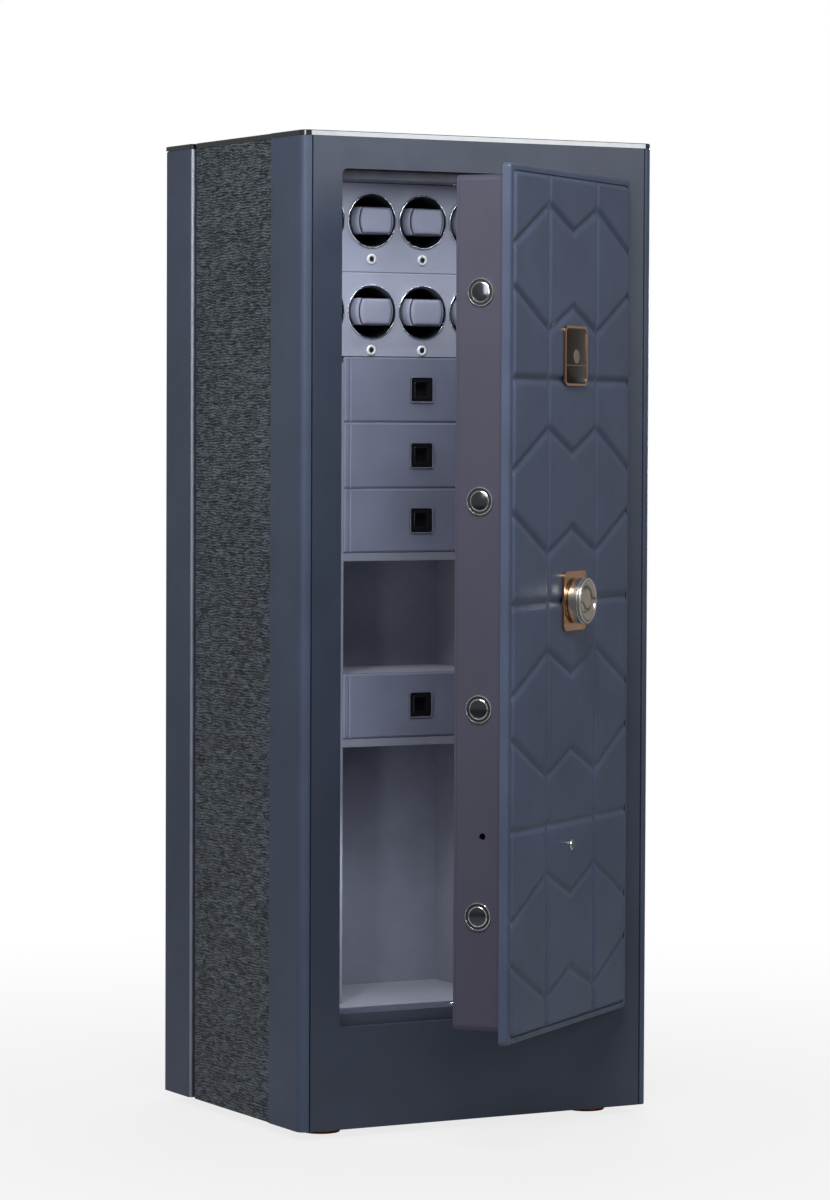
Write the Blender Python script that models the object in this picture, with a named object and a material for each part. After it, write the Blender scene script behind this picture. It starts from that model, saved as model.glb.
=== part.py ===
"""Leather-clad safe with a quilted swing door, watch winders and drawers.

Metres. The cabinet frame has x = 0 on the centre line, y = 0 on the front face with +y going into the
cabinet, and z = 0 on the floor. Every mesh is drawn in that frame with the door shut. The door hangs on an
empty that stands on its hinge axis and holds it ajar, and a second empty moves the cabinet frame so that the
whole object, with its door ajar, is centred over the origin.
"""

import math

import bmesh
import bpy
from mathutils import Matrix, Vector

# Driving dimensions of the cabinet
BODY_WIDTH = 0.604
BODY_DEPTH = 0.470
CLAD_HEIGHT = 1.475
FOOT_HEIGHT = 0.012
TOP_THICKNESS = 0.008
FIT_GAP = 0.0003

# Leather cladding: front fascia, corner columns, grained side panels, rear strips
FASCIA_THICKNESS = 0.016
COLUMN_FRONT = 0.0144
COLUMN_RADIUS = 0.014
COLUMN_SIDE = 0.107
CLAD_THICKNESS = 0.010
PANEL_RECESS = 0.0027
PANEL_FRONT_Y = 0.109
PANEL_BACK_Y = 0.3675
STRIP_FRONT_Y = 0.379
STRIP_RADIUS = 0.006
FASCIA_SEAM = 0.0024
REAR_THICKNESS = 0.004

# Door opening in the fascia, and the steel frame behind it
OPENING_LEFT = -0.237
OPENING_RIGHT = 0.239
OPENING_BOTTOM = 0.1645
OPENING_TOP = 1.440
OPENING_RADIUS = 0.009
FRAME_BACK_Y = 0.075
FRAME_LEFT = -0.234
FRAME_RIGHT = 0.230
FRAME_BOTTOM = 0.1825
FRAME_TOP = 1.426

# Filled steel walls round the cavity, and the linings in it
CAVITY_HALF = 0.232
CAVITY_FLOOR = 0.172
CAVITY_TOP = 1.432
CAVITY_BACK_Y = 0.382
LINING_THICKNESS = 0.012

# Interior: winder bank over a centre tower of drawers and open bays
FACE_Y = 0.187
TOWER_INNER = 0.135
BOARD = 0.012
WINDER_PITCH = 0.0885
WINDER_COLUMNS = 5
WINDER_ROWS_Z = (1.374, 1.235)
WINDER_SEAM_Z = 1.2947
WINDER_BASE_Z = 1.167
WINDER_PLATE = 0.006
WINDER_CASE_BACK_Y = 0.305
MOTOR_DEPTH = 0.020
CASE_BOARD = 0.004
BEZEL_RADIUS = 0.0415
BEZEL_BORE = 0.037
BEZEL_CARRIER = 0.0015
BEZEL_RISE = 0.003
PILLOW_RADIUS = 0.0362
PILLOW_HALF_HEIGHT = 0.0204
PILLOW_FRONT_Y = 0.170
TABLE_RADIUS = 0.0385
BUTTON_DROP = 0.0585
BUTTON_RADIUS = 0.0040
COLLAR_RADIUS = 0.0080
COLLAR_RISE = 0.0026
DRAWER_BOTTOMS_Z = (1.0660, 0.9645, 0.8655, 0.5795)
DRAWER_TOPS_Z = (1.1665, 1.0655, 0.9640, 0.6795)
DRAWER_FRONT = 0.018
TRAY_HALF = 0.1274
TRAY_BACK_Y = 0.378
TRAY_BOARD = 0.008
DRAWER_STILE = 0.0105
PULL_HALF = 0.020
PULL_FINGER_HALF = 0.011

# Door: leather panel with a quilted pad, on a steel plug that holds the bolts
DOOR_AJAR = math.radians(37.0)
HINGE_X = 0.2695
HINGE_Y = 0.0165
DOOR_HALF = 0.234
DOOR_BOTTOM = 0.168
DOOR_TOP = 1.437
PANEL_THICKNESS = 0.013
RIM_WIDTH = 0.0095
RIM_GROOVE = 0.0005
BED_RADIUS = 0.010
RIM_DEPTH = 0.004
RIM_RADIUS = 0.004
PLUG_HALF = 0.226
PLUG_BOTTOM = 0.1865
PLUG_TOP = 1.421
PLUG_COVER_Y = 0.084
PLUG_BACK_Y = 0.088
PLUG_WALL = 0.005
PLUG_RADIUS = 0.008
HINGE_CENTRES_Z = (0.330, 1.275)
POCKET_RIGHT = 0.283
POCKET_BACK_Y = 0.072
POCKET_HALF = 0.034

# Quilting: equal rows, of which the first and last are trimmed by the door's edges
ROW_PITCH = 0.326
QUILT_ROWS = 4
QUILT_COLUMN = 0.0925
ZIGZAG_AT_EDGE = 0.405
ZIGZAG_AT_COLUMN = 0.218
ZIGZAG_AT_CENTRE = 0.330
PAD_STEPS = ((0.0030, 0.0022), (0.0065, 0.0016), (0.0100, 0.0007))

# Boltwork: a pinion on the knob's spindle drives a toothed bar with the bolts on it
BOLT_SPACING = 0.300
BOLT_COUNT = 4
BOLT_RADIUS = 0.015
BOLT_Y = 0.049
BUSH_RADIUS = 0.020
BUSH_FACE = 0.002
PINION_TEETH = 12
PINION_MODULE = 0.002
RACK_Y = (0.043, 0.055)
TOOTH_SHARE = 0.41
PLATE_HALF_WIDTH = 0.043
PLATE_HALF_HEIGHT = 0.044
PLATE_THICKNESS = 0.0036
KNOB_RADIUS = 0.034
KNOB_DEPTH = 0.021
READER_RISE = 0.036
KEY_DROP = 0.037

# Lengths worked out from the driving dimensions
HALF_WIDTH = BODY_WIDTH / 2
CLAD_TOP = FOOT_HEIGHT + CLAD_HEIGHT
STEEL_HALF = HALF_WIDTH - CLAD_THICKNESS - FIT_GAP
STEEL_BOTTOM = FOOT_HEIGHT + FIT_GAP
STEEL_TOP = CLAD_TOP - FIT_GAP
DOOR_MIDDLE_Z = (DOOR_BOTTOM + DOOR_TOP) / 2
QUILT_HALF = DOOR_HALF - RIM_WIDTH - RIM_GROOVE
QUILT_TOP = DOOR_TOP - RIM_WIDTH - RIM_GROOVE
QUILT_BOTTOM = DOOR_BOTTOM + RIM_WIDTH + RIM_GROOVE
QUILT_SEAM_Y = 0.0008
PAD_HEIGHT = sum(rise for _, rise in PAD_STEPS)
PAD_FACE_Y = QUILT_SEAM_Y - PAD_HEIGHT
BOLT_ROWS_Z = [DOOR_MIDDLE_Z + BOLT_SPACING * (i - (BOLT_COUNT - 1) / 2) for i in range(BOLT_COUNT)]
PINION_RADIUS = PINION_MODULE * PINION_TEETH / 2
READER_Z = DOOR_MIDDLE_Z + ROW_PITCH + READER_RISE
KEY_Z = DOOR_MIDDLE_Z - ROW_PITCH - KEY_DROP
RIM_SHOULDER = RIM_RADIUS * (1 - math.sqrt(0.5))
LATCH_REACH = HINGE_X + DOOR_HALF - RIM_SHOULDER
LATCH_SWING_Y = HINGE_Y - LATCH_REACH * math.sin(DOOR_AJAR) - (HINGE_Y - RIM_SHOULDER) * math.cos(DOOR_AJAR)
CABINET_SHIFT_Y = -(LATCH_SWING_Y + BODY_DEPTH) / 2


def clear_scene():
    for obj in list(bpy.data.objects):
        bpy.data.objects.remove(obj, do_unlink=True)


def paint(name, colour, roughness, metallic=0.0):
    material = bpy.data.materials.new(name)
    material.use_nodes = True
    shader = material.node_tree.nodes["Principled BSDF"]
    shader.inputs["Base Color"].default_value = (*colour, 1.0)
    shader.inputs["Roughness"].default_value = roughness
    shader.inputs["Metallic"].default_value = metallic
    material.diffuse_color = (*colour, 1.0)
    return material


def pivot(name, location, parent=None, turn=0.0):
    """An empty that carries pieces. It remembers where it stands in the cabinet frame with the door shut."""
    empty = bpy.data.objects.new(name, None)
    bpy.context.collection.objects.link(empty)
    stands = Vector(location)
    empty.parent = parent
    empty.location = stands - Vector(parent["stands"]) if parent else stands
    empty.rotation_euler.z = turn
    empty["stands"] = list(stands) if parent else [0.0, 0.0, 0.0]
    return empty


def piece(name, bm, material, carrier, origin=None):
    """Turn a bmesh drawn in the cabinet frame into an object with its origin at a point of that frame."""
    bmesh.ops.recalc_face_normals(bm, faces=bm.faces[:])
    mesh = bpy.data.meshes.new(name)
    bm.to_mesh(mesh)
    bm.free()
    stands = Vector(carrier["stands"])
    origin = Vector(origin) if origin else stands
    mesh.transform(Matrix.Translation(-origin))
    mesh.materials.append(material)
    mesh.shade_smooth()
    mesh.set_sharp_from_angle(angle=math.radians(32))
    obj = bpy.data.objects.new(name, mesh)
    bpy.context.collection.objects.link(obj)
    obj.parent = carrier
    obj.location = origin - stands
    return obj


def combine(target, bm, operation):
    """Put a bmesh drawn in the cabinet frame to a piece. The tool object stays hidden beside its target."""
    carrier = target.parent
    origin = target.location + Vector(carrier["stands"])
    name = f"{target.name}_tool_{len(target.modifiers) + 1}"
    tool = piece(name, bm, target.active_material, carrier, origin)
    tool.hide_render = True
    tool.display_type = "WIRE"
    modifier = target.modifiers.new(operation.title(), "BOOLEAN")
    modifier.operation = operation
    modifier.object = tool
    modifier.solver = "EXACT"


def cut(target, bm):
    combine(target, bm, "DIFFERENCE")


def join(target, bm):
    combine(target, bm, "UNION")


def add_box(bm, low, high):
    size = [b - a for a, b in zip(low, high)]
    middle = [(a + b) / 2 for a, b in zip(low, high)]
    bmesh.ops.create_cube(bm, size=1.0, matrix=Matrix.Translation(middle) @ Matrix.Diagonal((*size, 1.0)))


def on_axis(axis, u, v, w):
    """A point at w along an axis, with u and v on the other two axes in X, Y, Z order."""
    return {"x": (w, u, v), "y": (u, w, v), "z": (u, v, w)}[axis]


def add_prism(bm, outline, axis, start, end):
    """Extrude a closed outline along an axis. Returns its two end faces."""
    rings = [[bm.verts.new(on_axis(axis, u, v, w)) for u, v in outline] for w in (start, end)]
    ends = [bm.faces.new(ring) for ring in rings]
    for i in range(len(outline)):
        j = (i + 1) % len(outline)
        bm.faces.new((rings[0][i], rings[0][j], rings[1][j], rings[1][i]))
    bmesh.ops.recalc_face_normals(bm, faces=bm.faces[:])
    return ends


def add_turned(bm, profile, centre, axis, segments):
    """Turn (radius, along) points round an axis. The profile is a closed loop, or starts and ends at radius 0."""
    u0, v0 = centre
    rings = []
    for radius, along in profile:
        count = segments if radius else 1
        angles = [2 * math.pi * i / segments for i in range(count)]
        rings.append([
            bm.verts.new(on_axis(axis, u0 + radius * math.cos(a), v0 + radius * math.sin(a), along))
            for a in angles
        ])
    pairs = list(zip(rings, rings[1:]))
    if len(rings[0]) > 1:
        pairs.append((rings[-1], rings[0]))
    for a, b in pairs:
        for i in range(segments):
            j = (i + 1) % segments
            corners = (a[i % len(a)], a[j % len(a)], b[j % len(b)], b[i % len(b)])
            bm.faces.new(list(dict.fromkeys(corners)))


def rod(radius, start, end):
    return ((0.0, start), (radius, start), (radius, end), (0.0, end))


def arc(centre, radius, start, end, steps):
    """Points on an arc, with angles in degrees."""
    turns = [math.radians(start + (end - start) * i / steps) for i in range(steps + 1)]
    return [(centre[0] + radius * math.cos(t), centre[1] + radius * math.sin(t)) for t in turns]


def rounded_rectangle(left, right, bottom, top, radius, steps=4):
    corners = (
        ((right - radius, top - radius), 0),
        ((left + radius, top - radius), 90),
        ((left + radius, bottom + radius), 180),
        ((right - radius, bottom + radius), 270),
    )
    return [p for centre, turn in corners for p in arc(centre, radius, turn, turn + 90, steps)]


def soften_front(bm, face, width, drop):
    """Slope the edge round a flat face back by drop over a width."""
    face.normal_update()
    outward = face.normal.copy()
    bmesh.ops.inset_region(bm, faces=[face], thickness=width, use_even_offset=True)
    kept = set(face.verts)
    for vertex in {v for side in face.edges for f in side.link_faces for v in f.verts} - kept:
        vertex.co -= outward * drop


def mirrored(outline, sign):
    return [(sign * u, v) for u, v in outline]


def winder_centres():
    """Column and row numbers from 1, with the x and z of each winder's axis."""
    for row, z in enumerate(WINDER_ROWS_Z, 1):
        for column in range(WINDER_COLUMNS):
            yield row, column + 1, WINDER_PITCH * (column - (WINDER_COLUMNS - 1) / 2), z


# Outer cabinet


def make_steel_body(cabinet):
    """The welded body: filled double walls, floor, roof and back round one open cavity."""
    front = FRAME_BACK_Y + FIT_GAP
    back = BODY_DEPTH - REAR_THICKNESS - FIT_GAP
    bm = bmesh.new()
    add_box(bm, (-STEEL_HALF, front, STEEL_BOTTOM), (STEEL_HALF, back, STEEL_TOP))
    body = piece("steel_body", bm, paint("steel_paint", (0.09, 0.10, 0.12), 0.55, 0.3), cabinet)
    bm = bmesh.new()
    low = (-CAVITY_HALF, 0.0, CAVITY_FLOOR - LINING_THICKNESS)
    add_box(bm, low, (CAVITY_HALF, CAVITY_BACK_Y + LINING_THICKNESS, CAVITY_TOP))
    cut(body, bm)


def hinge_pocket_boxes(bm, front, left, back):
    """The room that each hinge needs behind the fascia's right-hand edge."""
    for z in HINGE_CENTRES_Z:
        add_box(bm, (left, front, z - POCKET_HALF), (POCKET_RIGHT, back, z + POCKET_HALF))


def make_door_frame(cabinet):
    """The steel frame that the plug shuts into, with blind holes for the bolts and pockets for the hinges."""
    bm = bmesh.new()
    front = FASCIA_THICKNESS + FIT_GAP
    add_box(bm, (-STEEL_HALF, front, STEEL_BOTTOM), (STEEL_HALF, FRAME_BACK_Y, STEEL_TOP))
    frame = piece("door_frame", bm, paint("frame_paint", (0.10, 0.10, 0.125), 0.5, 0.2), cabinet)
    bm = bmesh.new()
    add_box(bm, (FRAME_LEFT, 0.0, FRAME_BOTTOM), (FRAME_RIGHT, 2 * FRAME_BACK_Y, FRAME_TOP))
    cut(frame, bm)
    bm = bmesh.new()
    for z in BOLT_ROWS_Z:
        add_turned(bm, rod(BOLT_RADIUS + 0.002, FRAME_LEFT - 0.028, FRAME_LEFT + 0.01), (BOLT_Y, z), "x", 20)
    hinge_pocket_boxes(bm, 0.0, FRAME_RIGHT - 0.01, POCKET_BACK_Y)
    cut(frame, bm)


def make_front_fascia(cabinet, leather):
    """The leather-clad front board with the rounded door opening."""
    half = HALF_WIDTH - COLUMN_FRONT - FASCIA_SEAM
    bm = bmesh.new()
    add_box(bm, (-half, 0.0, FOOT_HEIGHT), (half, FASCIA_THICKNESS, CLAD_TOP))
    fascia = piece("front_fascia", bm, leather, cabinet)
    bm = bmesh.new()
    outline = rounded_rectangle(OPENING_LEFT, OPENING_RIGHT, OPENING_BOTTOM, OPENING_TOP, OPENING_RADIUS)
    add_prism(bm, outline, "y", -0.01, 2 * FASCIA_THICKNESS)
    cut(fascia, bm)
    bm = bmesh.new()
    hinge_pocket_boxes(bm, 0.007, OPENING_RIGHT - 0.01, 2 * FASCIA_THICKNESS)
    cut(fascia, bm)


def column_outline():
    """Right-hand corner column seen from above: a rounded front corner and a flat side leg."""
    centre = (HALF_WIDTH - COLUMN_RADIUS, COLUMN_RADIUS)
    inner = HALF_WIDTH - CLAD_THICKNESS
    edge = 0.003
    return [
        (HALF_WIDTH - COLUMN_FRONT, 0.0),
        *arc(centre, COLUMN_RADIUS, 270, 360, 10),
        *arc((HALF_WIDTH - edge, COLUMN_SIDE - edge), edge, 0, 90, 3),
        (inner, COLUMN_SIDE),
        (inner, FASCIA_THICKNESS),
        (HALF_WIDTH - COLUMN_FRONT, FASCIA_THICKNESS),
    ]


def rear_outline():
    """Rear cover seen from above: a flat back that turns round both rear edges as strips."""
    inner = HALF_WIDTH - CLAD_THICKNESS
    radius = STRIP_RADIUS
    back_edge = 0.003
    right = [
        (inner, BODY_DEPTH - REAR_THICKNESS),
        (inner, STRIP_FRONT_Y),
        *arc((HALF_WIDTH - radius, STRIP_FRONT_Y + radius), radius, 270, 360, 4),
        *arc((HALF_WIDTH - back_edge, BODY_DEPTH - back_edge), back_edge, 0, 90, 3),
    ]
    return right + mirrored(right, -1)[::-1]


def panel_outline():
    """Right-hand grained side panel seen from above, set back from the columns."""
    inner = HALF_WIDTH - CLAD_THICKNESS
    outer = HALF_WIDTH - PANEL_RECESS
    edge = 0.002
    return [
        (inner, PANEL_FRONT_Y),
        *arc((outer - edge, PANEL_FRONT_Y + edge), edge, 270, 360, 2),
        *arc((outer - edge, PANEL_BACK_Y - edge), edge, 0, 90, 2),
        (inner, PANEL_BACK_Y),
    ]


def make_side_cladding(cabinet, leather, grain):
    covers = [("rear_cover", rear_outline(), leather)]
    for side, sign in (("left", -1), ("right", 1)):
        covers.append((f"{side}_corner_column", mirrored(column_outline(), sign), leather))
        covers.append((f"{side}_side_panel", mirrored(panel_outline(), sign), grain))
    for name, outline, material in covers:
        bm = bmesh.new()
        add_prism(bm, outline, "z", FOOT_HEIGHT, CLAD_TOP)
        piece(name, bm, material, cabinet)


def make_top_plate(cabinet):
    """Polished plate whose outline follows the columns, the recessed panels and the grooves."""
    recess = HALF_WIDTH - PANEL_RECESS
    groove = HALF_WIDTH - CLAD_THICKNESS
    right = [
        *arc((HALF_WIDTH - COLUMN_RADIUS, COLUMN_RADIUS), COLUMN_RADIUS, 270, 360, 10),
        (HALF_WIDTH, COLUMN_SIDE),
        (recess, PANEL_FRONT_Y),
        (recess, PANEL_BACK_Y),
        (groove, PANEL_BACK_Y + 0.002),
        (groove, STRIP_FRONT_Y - 0.001),
        *arc((HALF_WIDTH - STRIP_RADIUS, STRIP_FRONT_Y + STRIP_RADIUS), STRIP_RADIUS, 270, 360, 3),
        (HALF_WIDTH, BODY_DEPTH),
    ]
    bm = bmesh.new()
    low = CLAD_TOP + FIT_GAP
    top = add_prism(bm, right + mirrored(right, -1)[::-1], "z", low, CLAD_TOP + TOP_THICKNESS)[1]
    soften_front(bm, top, 0.0010, 0.0010)
    piece("top_plate", bm, paint("polished_steel", (0.80, 0.81, 0.82), 0.08, 1.0), cabinet)


def make_feet(cabinet):
    copper = paint("copper_foot", (0.55, 0.25, 0.08), 0.35, 0.8)
    radius, inset = 0.031, 0.070
    profile = ((0.0, 0.0), (radius - 0.002, 0.0), (radius, 0.003), (radius, FOOT_HEIGHT - 0.001),
               (radius - 0.001, FOOT_HEIGHT), (0.0, FOOT_HEIGHT))
    for end, y in (("front", inset), ("rear", BODY_DEPTH - inset)):
        for side, x in (("left", inset - HALF_WIDTH), ("right", HALF_WIDTH - inset)):
            bm = bmesh.new()
            add_turned(bm, profile, (x, y), "z", 24)
            piece(f"{end}_{side}_foot", bm, copper, cabinet, (x, y, 0.0))


# Interior fittings


def make_lining(cabinet, suede):
    """The suede-faced board on the cavity's floor, turned up over its back."""
    half = CAVITY_HALF - FIT_GAP
    front, back = FRAME_BACK_Y + FIT_GAP, CAVITY_BACK_Y + LINING_THICKNESS - FIT_GAP
    low, high = CAVITY_FLOOR - LINING_THICKNESS + FIT_GAP, CAVITY_TOP - FIT_GAP
    outline = [(front, low), (back, low), (back, high), (CAVITY_BACK_Y, high), (CAVITY_BACK_Y, CAVITY_FLOOR),
               (front, CAVITY_FLOOR)]
    bm = bmesh.new()
    add_prism(bm, outline, "x", -half, half)
    piece("cavity_lining", bm, suede, cabinet)


def make_tower(cabinet, suede):
    """The glued centre tower: two sides, the boards between them, drawer battens, and the wide winder shelf on top."""
    base = CAVITY_FLOOR + FIT_GAP
    back = CAVITY_BACK_Y - FIT_GAP
    outer = TOWER_INNER + BOARD
    bite = 0.002
    inner = TOWER_INNER + bite
    behind_front = FACE_Y + DRAWER_FRONT + 0.001
    shelf_top = WINDER_BASE_Z - FIT_GAP
    shelf_low = shelf_top - BOARD
    wide = CAVITY_HALF - FIT_GAP
    bm = bmesh.new()
    add_box(bm, (-wide, behind_front, shelf_low), (wide, back, shelf_top))
    tower = piece("tower_carcass", bm, suede, cabinet)
    bm = bmesh.new()
    for side in (-1, 1):
        low, high = sorted((side * TOWER_INNER, side * outer))
        add_box(bm, (low, FACE_Y, base), (high, back, shelf_low + bite))
    join(tower, bm)
    bm = bmesh.new()
    for bottom in (DRAWER_BOTTOMS_Z[2], DRAWER_BOTTOMS_Z[3]):
        add_box(bm, (-inner, FACE_Y, bottom - 0.0005 - BOARD), (inner, back, bottom - 0.0005))
    cover_top = DRAWER_TOPS_Z[3]
    add_box(bm, (-inner, behind_front, cover_top - 0.008), (inner, back, cover_top))
    join(tower, bm)
    bm = bmesh.new()
    for bottom in DRAWER_BOTTOMS_Z:
        for side in (-1, 1):
            low, high = sorted((side * (TRAY_HALF + FIT_GAP), side * inner))
            add_box(bm, (low, behind_front, bottom + 0.030), (high, back - 0.001, bottom + 0.046))
    join(tower, bm)


def make_drawer(number, bottom, top, cabinet, leather, gloss):
    """A leather-faced front on an open tray, with a square finger pull let into the front."""
    middle = (bottom + top) / 2
    origin = (0.0, FACE_Y, middle)
    front_back = FACE_Y + DRAWER_FRONT
    low, high = bottom + 0.006, top - 0.020
    half = TOWER_INNER - 0.0006
    bm = bmesh.new()
    outline = rounded_rectangle(-half, half, bottom, top, 0.002, 1)
    face = add_prism(bm, outline, "y", FACE_Y, front_back)[0]
    soften_front(bm, face, 0.003, 0.002)
    drawer = piece(f"drawer_{number}", bm, leather, cabinet, origin)
    bm = bmesh.new()
    add_box(bm, (-TRAY_HALF, front_back - 0.004, low), (TRAY_HALF, TRAY_BACK_Y, high))
    join(drawer, bm)
    bm = bmesh.new()
    inner = TRAY_HALF - TRAY_BOARD
    add_box(bm, (-inner, front_back, low + 0.006), (inner, TRAY_BACK_Y - TRAY_BOARD, top - 0.010))
    pocket = PULL_HALF - 0.003
    add_box(bm, (-pocket, FACE_Y - 0.01, middle - pocket), (pocket, FACE_Y + 0.013, middle + pocket))
    for side in (-1, 1):
        x = side * (half - DRAWER_STILE)
        add_prism(bm, [(x - 0.003, FACE_Y - 0.001), (x, FACE_Y + 0.002), (x + 0.003, FACE_Y - 0.001)], "z",
                  bottom - 0.01, top + 0.01)
    cut(drawer, bm)

    flange = FACE_Y - FIT_GAP
    bm = bmesh.new()
    outline = rounded_rectangle(-PULL_HALF, PULL_HALF, middle - PULL_HALF, middle + PULL_HALF, 0.003, 2)
    face = add_prism(bm, outline, "y", flange - 0.002, flange)[0]
    bmesh.ops.inset_region(bm, faces=[face], thickness=0.0015, use_even_offset=True)
    bmesh.ops.inset_region(bm, faces=[face], thickness=0.0005, depth=-0.0007, use_even_offset=True)
    pull = piece(f"drawer_pull_{number}", bm, gloss, cabinet, origin)
    cup = pocket - FIT_GAP
    bm = bmesh.new()
    add_box(bm, (-cup, flange - 0.001, middle - cup), (cup, FACE_Y + 0.0127, middle + cup))
    join(pull, bm)
    finger = PULL_FINGER_HALF
    bm = bmesh.new()
    add_box(bm, (-finger, FACE_Y - 0.02, middle - finger), (finger, FACE_Y + 0.0105, middle + finger))
    cut(pull, bm)


def make_winder_bank(cabinet, leather, chrome, black):
    """A faced board with round windows, the chrome carrier whose rings and collars fill them, and the case behind."""
    wide = CAVITY_HALF - 0.0006
    back = FACE_Y + WINDER_PLATE
    top = CAVITY_TOP - 2 * FIT_GAP
    bm = bmesh.new()
    add_box(bm, (-wide, FACE_Y, WINDER_BASE_Z), (wide, back, top))
    panel = piece("winder_panel", bm, leather, cabinet)
    carrier_front, carrier_back = back + FIT_GAP, back + FIT_GAP + BEZEL_CARRIER
    bm = bmesh.new()
    add_box(bm, (-wide, carrier_front, WINDER_BASE_Z), (wide, carrier_back, top))
    bezels = piece("winder_bezels", bm, chrome, cabinet)
    windows, rings, bores = bmesh.new(), bmesh.new(), bmesh.new()
    groove = [(FACE_Y - 0.002, -0.0035), (FACE_Y - 0.002, 0.0035), (FACE_Y + 0.0015, 0.0)]
    add_prism(windows, [(y, WINDER_SEAM_Z + z) for y, z in groove], "x", -0.4, 0.4)
    face, collar_face = FACE_Y - BEZEL_RISE, FACE_Y - COLLAR_RISE
    for _, _, x, z in winder_centres():
        add_turned(windows, rod(BEZEL_RADIUS + FIT_GAP, FACE_Y - 0.01, back + 0.01), (x, z), "y", 24)
        ring = ((0.0, carrier_back - 0.0005), (BEZEL_RADIUS, carrier_back - 0.0005), (BEZEL_RADIUS, face + 0.0015),
                (BEZEL_RADIUS - 0.0010, face), (BEZEL_RADIUS - 0.0020, face), (BEZEL_BORE, face + 0.0040),
                (0.0, face + 0.0040))
        add_turned(rings, ring, (x, z), "y", 24)
        add_turned(bores, rod(BEZEL_BORE, FACE_Y - 0.03, carrier_back + 0.01), (x, z), "y", 24)
        button = (x, z - BUTTON_DROP)
        add_turned(windows, rod(COLLAR_RADIUS + FIT_GAP, FACE_Y - 0.01, back + 0.01), button, "y", 12)
        collar = ((0.0, carrier_back - 0.0005), (COLLAR_RADIUS, carrier_back - 0.0005),
                  (COLLAR_RADIUS, collar_face + 0.0015), (COLLAR_RADIUS - 0.0015, collar_face), (0.0, collar_face))
        add_turned(rings, collar, button, "y", 12)
        add_turned(bores, rod(BUTTON_RADIUS + 0.0004, FACE_Y - 0.01, carrier_back + 0.01), button, "y", 12)
    cut(panel, windows)
    join(bezels, rings)
    cut(bezels, bores)

    drive_y = WINDER_CASE_BACK_Y
    front = carrier_back + FIT_GAP
    half_board, half_motor = CASE_BOARD / 2, 0.016
    bm = bmesh.new()
    add_box(bm, (-wide, drive_y, WINDER_BASE_Z), (wide, drive_y + 0.006, top))
    case = piece("winder_case", bm, black, cabinet)
    bm = bmesh.new()
    for i in range(1, WINDER_COLUMNS):
        x = WINDER_PITCH * (i - WINDER_COLUMNS / 2)
        add_box(bm, (x - half_board, front, WINDER_BASE_Z), (x + half_board, drive_y + 0.002, top))
    for _, _, x, z in winder_centres():
        low = (x - half_motor, drive_y - MOTOR_DEPTH, z - half_motor)
        add_box(bm, low, (x + half_motor, drive_y + 0.003, z + half_motor))
    join(case, bm)
    bm = bmesh.new()
    low = (-wide, front + 0.001, WINDER_SEAM_Z - half_board)
    add_box(bm, low, (wide, drive_y + 0.001, WINDER_SEAM_Z + half_board))
    join(case, bm)


def pillow_loop(half_width, radius, half_height):
    """A flat-topped loop with bowed ends, seen from the front."""
    tilt = math.degrees(math.asin(half_height / radius))
    bow = half_width - radius
    return arc((bow, 0), radius, -tilt, tilt, 4) + arc((-bow, 0), radius, 180 - tilt, 180 + tilt, 4)


def make_winder_rotor(row, column, x, z, cabinet, pillow_leather):
    """A watch pillow that stands out through its window, on the turntable that its motor drives."""
    table_y = 0.262
    front, high = PILLOW_FRONT_Y, PILLOW_HALF_HEIGHT
    stages = ((PILLOW_RADIUS, PILLOW_RADIUS, high, table_y + 0.001),
              (PILLOW_RADIUS, PILLOW_RADIUS, high, front + 0.0085),
              (0.0285, 0.042, high, front + 0.0032),
              (0.0268, 0.042, high - 0.0012, front + 0.0013),
              (0.0248, 0.042, high - 0.0038, front))
    bm = bmesh.new()
    loops = [[bm.verts.new((x + u, y, z + v)) for u, v in pillow_loop(*stage)] for *stage, y in stages]
    bm.faces.new(loops[0])
    bm.faces.new(loops[-1])
    for a, b in zip(loops, loops[1:]):
        for i in range(len(a)):
            j = (i + 1) % len(a)
            bm.faces.new((a[i], a[j], b[j], b[i]))
    pillow = piece(f"winder_pillow_{row}{column}", bm, pillow_leather, cabinet, (x, FACE_Y, z))
    hub_y = WINDER_CASE_BACK_Y - MOTOR_DEPTH - FIT_GAP
    table = ((0.0, table_y), (TABLE_RADIUS, table_y), (TABLE_RADIUS, table_y + 0.005), (0.008, table_y + 0.007),
             (0.008, hub_y), (0.0, hub_y))
    bm = bmesh.new()
    add_turned(bm, table, (x, z), "y", 16)
    join(pillow, bm)


def make_winder_button(row, column, x, z, cabinet, black):
    """A push button that slides in the panel, with a shoulder that holds it from behind."""
    face = FACE_Y - COLLAR_RISE + 0.0006
    shoulder = FACE_Y + WINDER_PLATE + BEZEL_CARRIER + 0.0006
    r = BUTTON_RADIUS
    profile = ((0.0, face), (r - 0.0008, face), (r, face + 0.0008), (r, shoulder), (0.0075, shoulder),
               (0.0075, shoulder + 0.003), (0.0, shoulder + 0.003))
    bm = bmesh.new()
    add_turned(bm, profile, (x, z - BUTTON_DROP), "y", 12)
    piece(f"winder_button_{row}{column}", bm, black, cabinet, (x, FACE_Y, z - BUTTON_DROP))


# Door


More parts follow.
